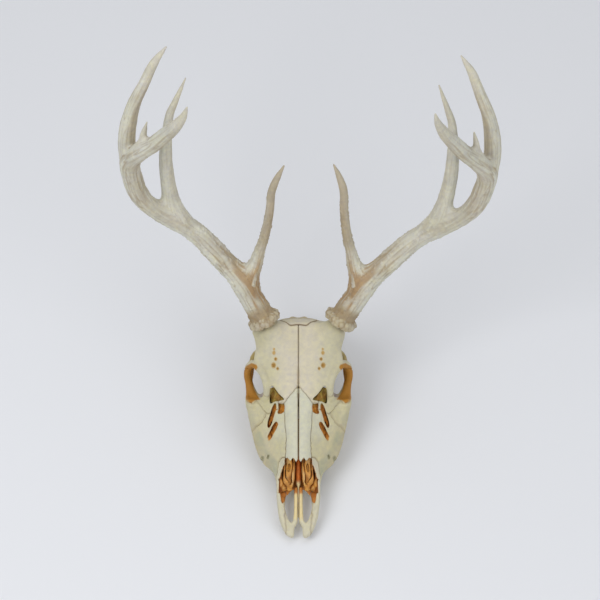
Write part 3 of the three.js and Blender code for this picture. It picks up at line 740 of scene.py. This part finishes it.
def main_part(points, quads):
    """The largest connected part of a mesh."""
    label = np.arange(len(points))
    while True:
        lowest = label.copy()
        np.minimum.at(lowest, quads.ravel(), np.repeat(label[quads].min(axis=1), 4))
        lowest = lowest[lowest]
        if np.array_equal(lowest, label):
            break
        label = lowest
    sizes = np.bincount(label, minlength=len(points))
    kept = label == sizes.argmax()
    number = np.cumsum(kept) - 1
    return points[kept], number[quads[kept[quads[:, 0]]]]


def normals_of(points, quads):
    a, b, c, d = (points[quads[:, i]] for i in range(4))
    faces = np.cross(c - a, d - b)
    total = np.zeros(points.shape)
    for i in range(4):
        for axis in range(3):
            total[:, axis] += np.bincount(quads[:, i], faces[:, axis], len(points))
    return total / (np.linalg.norm(total, axis=1, keepdims=True) + 1e-9)


def show(name, data):
    """A new object in the scene."""
    made = bpy.data.objects.new(name, data)
    bpy.context.collection.objects.link(made)
    return made


def piece(name, points, quads, tint, material, nodes, slot):
    """A mesh in the frame, with its colours, that rides the skull and stands for CAD nodes."""
    mesh = bpy.data.meshes.new(name)
    mesh.vertices.add(len(points))
    mesh.vertices.foreach_set("co", ((points + ORIGIN) / 1000).astype(np.float32).ravel())
    mesh.loops.add(quads.size)
    mesh.loops.foreach_set("vertex_index", quads.astype(np.int32).ravel())
    mesh.polygons.add(len(quads))
    mesh.polygons.foreach_set("loop_start", np.arange(0, quads.size, 4, dtype=np.int32))
    mesh.polygons.foreach_set("use_smooth", np.ones(len(quads), bool))
    mesh.update(calc_edges=True)
    colours = np.ones((len(points), 4), np.float32)
    colours[:, :3] = np.clip(tint / LIT, 0, 0.92)
    mesh.color_attributes.new("tint", "FLOAT_COLOR", "POINT").data.foreach_set("color", colours.ravel())
    mesh.materials.append(material)
    made = show(name, mesh)
    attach(made, "root")
    if nodes:
        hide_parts(*nodes)
    return made


def on_side(side, points, quads):
    """A mesh of the left side, mirrored if it is for the right."""
    return (points * (-1, 1, 1), quads[:, ::-1]) if side == "right" else (points, quads)


# ---- materials ----
def finish(name, roughness, grain, relief, spread):
    """A dry surface: its painted tint, varied by fine noise, with grain and relief in metres."""
    material = bpy.data.materials.new(name)
    material.use_nodes = True
    tree = material.node_tree

    def fill(node, inputs):
        """Sets a node's inputs, each to a value or to another node's output."""
        for socket, value in inputs.items():
            if isinstance(value, bpy.types.NodeSocket):
                tree.links.new(value, node.inputs[socket])
            else:
                node.inputs[socket].default_value = value

    def node(kind, output, inputs, **settings):
        """Adds a node and gives its output."""
        made = tree.nodes.new("ShaderNode" + kind)
        for setting, value in settings.items():
            setattr(made, setting, value)
        fill(made, inputs)
        return made.outputs[output]

    place = node("TexCoord", "Object", {})

    def speckle(size, detail, rough=0.6):
        inputs = {"Vector": place, "Scale": 1 / size, "Detail": detail, "Roughness": rough}
        return node("TexNoise", "Fac", inputs)

    def ranged(value, low, high):
        ends = {"From Min": 0.3, "From Max": 0.7, "To Min": low, "To Max": high}
        return node("MapRange", "Result", {"Value": value, **ends})

    fine, patches = speckle(grain * 4, 6), speckle(grain * 22, 4)
    tint = node("Attribute", "Color", {}, attribute_name="tint")
    shade = node("CombineColor", "Color", {
        "Red": ranged(fine, 1 - spread, 1 + spread),
        "Green": ranged(fine, 1 - spread, 1 + spread * 0.9),
        "Blue": ranged(patches, 1 + spread * 0.4, 1 - spread * 0.7),
    })
    varied = {"Factor": 1, "A": tint, "B": shade}
    bump = {"Distance": relief, "Strength": 0.8, "Height": speckle(grain, 5, 0.7)}
    fill(tree.nodes["Principled BSDF"], {
        "Base Color": node("Mix", "Result", varied, data_type="RGBA", blend_type="MULTIPLY"),
        "Roughness": ranged(patches, roughness - 0.1, roughness + 0.12),
        "Specular IOR Level": 0.3,
        "Normal": node("Bump", "Normal", bump),
    })
    return material


BONE = finish("bone", 0.62, 0.0011, 0.0004, 0.08)
PALE_BONE = finish("pale_bone", 0.58, 0.0009, 0.0003, 0.07)
STAINED_BONE = finish("stained_bone", 0.7, 0.0008, 0.0005, 0.2)
ENAMEL = finish("enamel", 0.36, 0.0007, 0.0002, 0.12)
ANTLER = finish("antler", 0.6, 0.0009, 0.0005, 0.08)


# ---- build the bones ----
SHOWN_REACH = 2.5  # how far from the skull's surface the bones' fields are worked out
skull, whole = half_skull()


def shown_field(skull, name, cells, distances):
    """One bone's field on the half grid: the skull within its region and off all taken before it."""
    own, taken = own_and_taken(name, distances)
    gap = SUTURE * (0.8 if name in ("parietal", "occipital") else 0.4)
    result = half_field()
    result.value[cells] = meet(skull.value[cells], own, gap - taken)
    return result


def add_bone(name, field, side):
    """Makes a bone's mesh from its half field: both halves for a bone on the midline, or else its side's."""
    value, low = field.value, field.low
    if side is None:
        value = np.concatenate([value[:0:-1], value])
        low = [-field.axes[0][-1], *low[1:]]
    else:
        half_gap = SUTURE / 3 if name in ("frontal", "nasal") else SUTURE / 2
        value = np.maximum(value, (half_gap - field.axes[0])[:, None, None])
    points, quads = main_part(*surface(value, low, field.cell))
    points[:, 2] = np.maximum(points[:, 2], 0)
    tint = bone_tint(np.abs(points) if side is None else points, name, whole)
    full_name = name if side is None else f"{name}_{side}"
    material, slot = (PALE_BONE, "pale_bone") if name in ("nasal", "premaxilla") else (BONE, "bone")
    piece(f"bone_{full_name}", *on_side(side, points, quads), tint, material, [full_name], slot)


cells, places = skull.near(SHOWN_REACH)
distances = region_distances(places)
for bone in REGIONS:
    if bone == "frontal":
        continue
    field = shown_field(skull, bone, cells, distances)
    if bone == "premaxilla":
        field.add(premaxilla_plate(), 1.5)
        field.cut(prism("picture", TAIL, TAIL_FLOOR, 40), 0.6)
    for side in (None,) if bone in MIDLINE_BONES else ("left", "right"):
        add_bone(bone, field, side)

FOOT = unit([11.2, 19.5, 8.0])  # where the beam heads as it leaves the skull
STALK_TOP = 13.6  # how far below the rack's origin a stalk ends, besides FOOT_DROP
for side in ("left", "right"):
    stalked = half_field()
    stalked.value = skull.value.copy()
    ends = [[*(-FOOT * PEDICLE["length"]), 16], [*(-FOOT * (STALK_TOP + FOOT_DROP)), 13.4]]
    stalked.add(limb(in_rack(ends, side)), 6)
    cells, places = stalked.near(SHOWN_REACH)
    add_bone("frontal", shown_field(stalked, "frontal", cells, region_distances(places)), side)


# ---- inside the nose ----
def inner_piece(name, shape, cell, tint_of, material, nodes, slot, sides):
    field = Field(shape.low - 2, shape.high + 2, cell)
    field.add(shape)
    points, quads = surface(field.value, field.low, cell)
    tint = tint_of(points)
    for side in sides:
        suffix = f"_{side}" if side else ""
        own_nodes = [node + suffix for node in nodes]
        piece(name + suffix, *on_side(side, points, quads), tint, material, own_nodes, slot)


SCROLL = np.array(
    [(9.5, 48, 28, 7, 6), (10, 58, 33, 12.6, 18), (10.2, 80, 40, 14, 32), (10.5, 112, 46, 13, 36)], float
)
SCROLL_PITCH, SCROLL_WALL = 3.4, 1.7
SCROLL_FACE = 2.6  # how far in front of the middle of the camera's depth each scroll is open


def toward_camera(y, z):
    """How far a place is toward the camera, across the picture's plane."""
    return z * UP[0] - y * UP[1]


def turbinate():
    """A thin plate of bone rolled up on itself along the nose."""
    body = strap(SCROLL)

    def distance(x, y, z):
        outer = body.distance(x, y, z)
        middle = [np.interp(y, SCROLL[:, 1], SCROLL[:, column]) for column in (0, 2)]
        turn = np.arctan2((z - middle[1]) * 0.5, x - middle[0]) / (2 * math.pi)
        bends = 0.7 * np.sin(0.35 * y + 0.5 * x)
        roll = np.mod(-outer + turn * SCROLL_PITCH + bends, SCROLL_PITCH)
        sheet = np.abs(roll - SCROLL_PITCH / 2) - SCROLL_WALL / 2
        return meet(outer, sheet, toward_camera(y, z) - SCROLL_FACE)

    return Shape(body.low, body.high, distance)


def turbinate_tint(points):
    streak = noise(points / (1, 4, 1), 3, 41)
    dark, pale = step(streak, -0.1, 0.7), 0.3 * step(-streak, 0.1, 0.6)
    return mix(plain("turbinate", points), ("turbinate_dark", dark), ("septum", pale))


def vomer_tint(points):
    up = up_picture(points[:, 1], points[:, 2]) + noise(points, 3, 43)
    return mix(plain("septum", points), ("middle", step(up, 54, 60)))


vomer = strap([
    (0, 24, 10.5, 1.2, 3.5), (0, 38, 14.5, 1.2, 6), (0, 52, 20, 1.2, 8), (0, 57, 24, 5, 9),
    (0, 66, 30, 6, 14), (0, 95, 36, 6, 22), (0, 118, 40, 6, 26),
])
for name, shape, cell, tint_of, sides in (
    ("turbinate", turbinate(), 0.5, turbinate_tint, ("left", "right")),
    ("vomer", vomer, 0.4, vomer_tint, ("",)),
):
    inner_piece(f"inner_{name}", shape, cell, tint_of, STAINED_BONE, [name], "stained_bone", sides)


def nose_room(low, high):
    """An empty half field, the cells of a box in it, and their places."""
    field = half_field()
    return field, *field.window(Shape(np.array(low), np.array(high), None), 0)


def folded_plates():
    """The folds of thin bone inside the slits: what is open in the skull, deeper than its wall."""
    field, spans, (x, y, z) = nose_room([0.6, 80, 40], [37, 150, 92])
    folds = 0.9 * np.cos((x + 0.4 * y) * 1.1) + 0.6 * np.cos((up_picture(y, z) - 0.6 * x) * 0.8)
    field.value[spans] = meet(
        whole.value[spans] + 4.6 + folds,
        0.8 - skull.value[spans],
        1.2 - eye_socket().distance(x, y, z),
        1.0 - strap(SCROLL).distance(x, y, z),
    )
    return field


def fold_tint(points):
    up = up_picture(points[:, 1], points[:, 2])
    dark = 0.5 * step(noise(points, 5, 42), 0, 0.7)
    return mix(plain("slit", points), ("vacuity", step(up, 134, 138)), ("turbinate_dark", dark))


# The front of the plates beside the scrolls: up the picture, and toward the camera.
SIDE_FACE = [(43, -10.5), (48, -8), (53, -4.8), (61, -2.4), (72.5, 3.5), (100, 12)]


def side_plates():
    """The folds of thin bone beside each scroll, a little behind the rim of the nose opening."""
    field, spans, (x, y, z) = nose_room([10.5, 44, 14], [22, 84, 62])
    up = up_picture(y, z)
    curls = 0.5 * np.cos(1.9 * x + 1.2 * np.sin(0.45 * up)) + 0.3 * np.cos(0.9 * up + 0.8 * x)
    face = np.interp(up, *zip(*SIDE_FACE)) + curls
    field.value[spans] = meet(
        np.abs(toward_camera(y, z) - face + 3) - 3,
        0.5 - skull.value[spans],
        0.9 - strap(SCROLL).distance(x, y, z),
        whole.value[spans] + 1.5,
        46.5 + 0.5 * (16 - x) - up,
        y - 80,
        11.5 - x,
    )
    return field


for name, field, tint_of in (
    ("folds", folded_plates(), fold_tint),
    ("side_folds", side_plates(), turbinate_tint),
):
    points, quads = main_part(*surface(field.value, field.low, BONE_CELL))
    tint = tint_of(points)
    for side in ("left", "right"):
        piece(f"inner_{name}_{side}", *on_side(side, points, quads), tint, STAINED_BONE, [], "stained_bone")


# ---- cheek teeth ----
def tooth_row():
    """Six teeth, the front three with one lobe and the back three with two, worn into crescents below."""
    pitch = (TOOTH_ROW["back"] - TOOTH_ROW["front"]) / 6

    def distance(x, y, z):
        nearest = None
        for i in range(6):
            size = 0.76 + 0.24 * i / 5
            row_x = TOOTH_ROW["last_x"] + (TOOTH_ROW["first_x"] - TOOTH_ROW["last_x"]) * (1 - i / 5) ** 2
            middle = TOOTH_ROW["front"] + pitch * (i + 0.5)
            lobes = (0,) if i < 3 else (-pitch / 4, pitch / 4)
            half = TOOTH_ROW["width"] / 2 * size
            reach = pitch * (0.48 if i < 3 else 0.265)
            for shift in lobes:
                across, along = (x - row_x) / half, (y - middle - shift) / reach
                flat = (np.sqrt(across**2 + along**2) - 1) * min(half, reach)
                ridge = np.cos(across * math.pi * 1.9) * 0.9 + 0.9
                worn = ridge * fade(np.abs(along), 0.3, 1) + 0.5 * along**2
                solid = meet(flat, worn - z, z - 14)
                nearest = solid if nearest is None else smooth_min(nearest, solid, 0.6)
        return nearest

    low = np.array([TOOTH_ROW["first_x"] - 7, TOOTH_ROW["front"] - 1, -0.5])
    return Shape(low, np.array([TOOTH_ROW["last_x"] + 8, TOOTH_ROW["back"] + 1, 14]), distance)


def tooth_tint(points):
    worn = 0.75 * fade(points[:, 2], 0.4, 1.6) * step(noise(points, 2, 51), -0.5, 0.3)
    streaks = 0.5 * step(noise(points / (1, 1, 3), 2.2, 52), 0.1, 0.8)
    return mix(plain("enamel", points), ("dentine", worn), ("dentine", streaks))


inner_piece("teeth", tooth_row(), 0.5, tooth_tint, ENAMEL, ["maxilla"], "bone", ("left", "right"))


# ---- antlers ----
# In the rack's own axes: out from the midline, up along the forehead's plane, out in front of it, and radius.
BEAM = [
    (-2.1, -3.7, -1.5, 14), (11.2, 19.5, 8, 13.3), (27.5, 45.1, 21, 12.3), (45.3, 64.5, 33, 12.3),
    (64.9, 84.8, 46, 11.7), (85.1, 98.9, 60, 10.4), (100.1, 105.9, 71, 10.2), (115.8, 115.7, 87, 10.1),
    (126.5, 128.5, 107, 10.9), (132.3, 145.1, 131, 11.1), (133.1, 159.6, 157, 11.1), (122.3, 167.4, 187, 10),
    (107.6, 175, 216, 8.8), (95.1, 183.7, 243, 8), (84.7, 191.3, 267, 6.5), (77.4, 199.6, 287, 4),
    (73.2, 208.7, 304, 0.9),
]
TINES = {
    "brow": [
        (14.2, 41, 19, 8.7), (8, 58.4, 29, 7.7), (3.9, 71.6, 39, 6), (-0.8, 84.7, 50, 5.3),
        (-6, 108.9, 69, 4.8), (-8.2, 129, 85, 4.5), (-13.4, 142.3, 94, 3.7), (-21.2, 156.4, 104, 0.8),
    ],
    "second": [
        (85, 101.9, 62, 9.4), (93.8, 124, 79, 8.9), (97.4, 144.8, 99, 7.9), (98.5, 166.5, 120, 7.1),
        (96.9, 187, 141, 5.8), (93.5, 205.5, 160, 4.5), (88.3, 217.2, 172, 3.5), (76.3, 242.2, 195, 0.8),
    ],
    "third": [
        (133.2, 157.7, 155, 9.6), (136.3, 173.4, 165, 9.6), (134.5, 194, 180, 9), (128.5, 214.3, 197, 7.3),
        (118.1, 234.6, 212, 6), (107.4, 254.9, 227, 4.7), (94.7, 270.8, 239, 0.9),
    ],
    "fourth": [
        (123.3, 167.9, 185, 7), (120.4, 177.5, 200, 4), (118.1, 186, 212, 3.2), (114.5, 196.5, 227, 0.8),
    ],
}
ANTLER_NODES = ("burr", "beam_base", "beam_middle", "beam_tip", *(f"{tine}_tine" for tine in TINES))
FORK_BLENDS = {"brow": 13.0, "second": 12.0, "third": 4.0, "fourth": 6.0}
LINE_CUTS = 5
THINNER = 0.925  # leaves room for the ridges on the surface
TIP_SHORTENING = 0.06  # of the last length of a line, for its round end
BURR_ROWS = ((2.2, 13.8, 17, 3.4), (4.8, 14.6, 19, 3.3), (7.6, 13.2, 16, 2.4))  # height, radius, beads, size
ANTLER_MARGIN, BRANCH_MARGIN, BURR_REACH = 16, 15, 22
CHUNK = 20000  # places that are compared with the lines at once, to spare memory
PALE_REACH = {"left": 166, "right": 148}  # how far out the beam's pale inner stretch reaches


def centreline(points, side):
    places = np.linspace(0, len(points) - 1 - TIP_SHORTENING, LINE_CUTS * (len(points) - 1) + 1)
    line = hermite(places, np.arange(len(points)), points)
    line[:, 3] = np.maximum(line[:, 3] * THINNER, 0.7)
    return in_rack(line, side)


def burr_knobs(side):
    """The ring of knobs round the antler's foot, as round beads in three uneven rows."""
    random = np.random.default_rng(61)
    across = unit(np.cross(FOOT, (0, 0, 1)))
    aside = np.cross(FOOT, across)
    beads = []
    for height, ring_radius, count, size in BURR_ROWS:
        for i in range(count):
            turn = (i + random.uniform(-0.3, 0.3)) / count * 2 * math.pi
            reach = ring_radius + random.uniform(-0.8, 0.5)
            middle = FOOT * (height - FOOT_DROP + random.uniform(-0.7, 0.7))
            middle = middle + reach * (across * math.cos(turn) + aside * math.sin(turn))
            beads.append([*middle, size * random.uniform(0.8, 1.1)])
    return in_rack(beads, side)


def antler_field(lines, knobs, side):
    box = boxed(np.concatenate([*lines, knobs]), ANTLER_MARGIN, None)
    field = Field(box.low, box.high, ANTLER_CELL)
    for line, blend in zip(lines, (0, *FORK_BLENDS.values())):
        branch = Field(box.low, box.high, ANTLER_CELL)
        for start, end in zip(line, line[1:]):
            shape = limb([start, end])
            spans, places = branch.window(shape, BRANCH_MARGIN)
            branch.value[spans] = np.minimum(branch.value[spans], shape.distance(*places))
        field.value = smooth_min(field.value, branch.value, blend)
    for bead in knobs:
        field.add(ellipsoid(bead[:3], (bead[3],) * 3), 1.6)
    foot, ahead = in_rack([-FOOT * FOOT_DROP, FOOT * 10], side)
    spans, places = field.window(Shape(foot - BURR_REACH, foot + BURR_REACH, None), 0)
    below = -sum((place - f) * s for place, f, s in zip(places, foot, unit(ahead - foot)))
    field.value[spans] = np.maximum(field.value[spans], below)
    return field


def along_lines(points, lines):
    """For each place: how far along its own branch it is, what is left to the tip, its direction round the
    line, and the branch's radius there."""
    parts = []
    for line in lines:
        way = np.gradient(line[:, :3], axis=0)
        way /= np.linalg.norm(way, axis=1, keepdims=True)
        roll = [np.cross(way[0], (0, 0, 1))]
        for direction in way[1:]:
            roll.append(roll[-1] - direction * (roll[-1] @ direction))
        roll = np.array(roll) / np.linalg.norm(roll, axis=1, keepdims=True)
        run = np.concatenate([[0], np.cumsum(np.linalg.norm(np.diff(line[:, :3], axis=0), axis=1))])
        parts.append((line[:, :3], way, roll, run, run[-1] - run, line[:, 3]))
    spots, ways, rolls, runs, lefts, radii = (np.concatenate(part) for part in zip(*parts))
    nearest = np.empty(len(points), int)
    for first in range(0, len(points), CHUNK):
        chunk = points[first : first + CHUNK]
        gaps = np.sqrt(((chunk[:, None] - spots[None]) ** 2).sum(axis=2)) - radii
        nearest[first : first + CHUNK] = gaps.argmin(axis=1)
    offset = points - spots[nearest]
    shift = (offset * ways[nearest]).sum(axis=1)
    flat = offset - ways[nearest] * shift[:, None]
    flat /= np.linalg.norm(flat, axis=1, keepdims=True) + 1e-6
    across = (flat * rolls[nearest]).sum(axis=1)
    aside = (flat * np.cross(ways[nearest], rolls[nearest])).sum(axis=1)
    return runs[nearest] + shift, lefts[nearest] - shift, across, aside, radii[nearest]


def add_antler(side):
    lines = [centreline(points, side) for points in (BEAM, *TINES.values())]
    knobs = burr_knobs(side)
    field = antler_field(lines, knobs, side)
    points, quads = surface(field.value, field.low, ANTLER_CELL)
    run, left, across, aside, radius = along_lines(points, lines)

    def streaks(fineness, length):
        return np.stack([across * fineness, aside * fineness, run / length], axis=1)

    flute = noise(streaks(2.6, 34), 1, 71) + 0.5 * noise(streaks(2.6, 34) * 2.1, 1, 72)
    groove = np.exp(-((flute / 0.16) ** 2))
    from_base = np.linalg.norm(points - in_rack([-FOOT * FOOT_DROP], side)[0], axis=1)
    rough = fade(from_base, 90, 260) * step(left, 15, 60)
    stout = step(radius, 2.5, 11) * step(left, 12, 70)
    pearls = step(noise(points, 2.3, 73), 0.25, 0.75)
    height = stout * (0.4 * flute - 0.55 * groove) + 0.75 * rough * pearls + 0.2 * noise(points, 6, 74)
    normals = normals_of(points, quads)
    points = points + normals * height[:, None]
    out, inward = points[:, 0], -normals[:, 0]
    fine = noise(streaks(7, 22), 1, 78)
    wash = step(noise(streaks(1, 60), 1, 79), -0.5, 0.5)
    on_brow = step(from_base, 75, 105) * fade(out, 58, 66)
    pale = step(from_base, 95, 130) * fade(from_base, 270, 310)
    pale = pale * fade(out, PALE_REACH[side], PALE_REACH[side] + 14)
    # Painted shade on the lower beam's side facing the midline, broken into brown streaks.
    inner_side_shade = step(inward, -0.45, 0.25) * step(from_base, 16, 26) * fade(from_base, 55, 92)
    near_foot = fade(from_base, 19, 30)
    gap = np.sqrt(((points[:, None] - knobs[None, :, :3]) ** 2).sum(axis=2)) / knobs[:, 3]
    crevices = 0.85 * step(gap.min(axis=1), 0.94, 1.22) + 0.2 * step(noise(points, 3.2, 77), 0, 0.5)
    tint = mix(
        plain("antler", points),
        # Painted light: sides facing away from the midline are paler; the ridges of the flutes are paler too.
        ("pale_ridge_and_lit_side", 0.55 * step(normals[:, 0], -0.2, 0.7) + 0.3 * step(flute, 0.2, 0.8)),
        # Painted shade: sides facing the midline take the groove brown, in a broken wash.
        ("groove", 0.42 * step(inward, -0.3, 0.8) * (0.35 + 0.65 * wash)),
        ("groove", np.clip(0.5 * groove * (0.3 + stout), 0, 0.9)),
        ("groove", 0.28 * step(fine, 0, 0.6)),
        ("pale_ridge_and_lit_side", 0.3 * step(-fine, 0, 0.6)),
        ("pale_ridge_and_lit_side", 0.4 * rough * pearls),
        ("tip", 0.7 * fade(left, 12, 60)),
        ("groove", 0.55 * on_brow),
        ("pale_ridge_and_lit_side", 0.42 * pale * (1 - on_brow)),
        # The lower beam's painted inner-side shade, in streaks.
        ("painted_shade", 0.8 * inner_side_shade * (0.2 + 0.8 * step(fine, -0.25, 0.3))),
        ("burr", 0.85 * near_foot),
        ("groove", near_foot * crevices),
    )
    tint *= (1 + 0.07 * noise(points, 14, 75) + 0.06 * noise(points, 3, 76))[:, None]
    nodes = [f"{node}_{side}" for node in ANTLER_NODES]
    piece(f"antler_{side}", *on_side(side, points, quads), tint, ANTLER, nodes, "antler")


add_antler("left")
add_antler("right")


# ---- floor, light and camera ----
FLOOR_REACH = 8.0  # metres


def floor():
    material = bpy.data.materials.new("floor")
    material.use_nodes = True
    inputs = material.node_tree.nodes["Principled BSDF"].inputs
    inputs["Base Color"].default_value = (0.83, 0.84, 0.87, 1)
    inputs["Roughness"].default_value = 0.9
    mesh = bpy.data.meshes.new("floor")
    corners = [(x * FLOOR_REACH, y * FLOOR_REACH, 0) for x, y in ((-1, -1), (1, -1), (1, 1), (-1, 1))]
    mesh.from_pydata(corners, [], [(0, 1, 2, 3)])
    mesh.materials.append(material)
    made = show("floor", mesh)


def aim(thing, place, target):
    """Puts a light or the camera at a place and turns it to a target, both in the skull's millimetres."""
    start, end = (Vector((np.array(spot, float) + ORIGIN) / 1000) for spot in (place, target))
    thing.location = start
    thing.rotation_euler = (end - start).to_track_quat("-Z", "Y").to_euler()


LIT_SPOT = (0, 180, 110)  # what the lights are turned to
LIGHTS = [  # name, place, width in metres and power in watts
    ("key", (-900, -500, 1500), 1.1, 10.9),
    ("fill", (1200, -900, 1200), 1.6, 8.4),
    ("top", (0, 600, 1900), 1.8, 6),
]
floor()
for name, place, size, power in LIGHTS:
    light = bpy.data.lights.new(name, "AREA")
    light.shape = "DISK"
    light.size = size
    light.energy = power
    aim(show(name, light), place, LIT_SPOT)
world = bpy.data.worlds.new("studio")
world.use_nodes = True
background = world.node_tree.nodes["Background"].inputs
background["Color"].default_value = (0.95, 0.97, 1.0, 1)
background["Strength"].default_value = 0.45
bpy.context.scene.world = world
bpy.context.scene.view_settings.view_transform = "Standard"

FRAME_WIDTH = 616.5  # millimetres across the picture at the skull
CAMERA_REACH = 6000.0  # millimetres from the camera to what it is turned to
SENSOR = 36  # millimetres
AIM = np.array([1.64, 211.3, 132.1])
camera = show("camera", bpy.data.cameras.new("camera"))
camera.data.sensor_width = SENSOR
camera.data.lens = SENSOR * CAMERA_REACH / FRAME_WIDTH
camera.data.clip_end = 100
aim(camera, AIM + CAMERA_REACH * np.array([0, -UP[1], UP[0]]), AIM)
bpy.context.scene.camera = camera
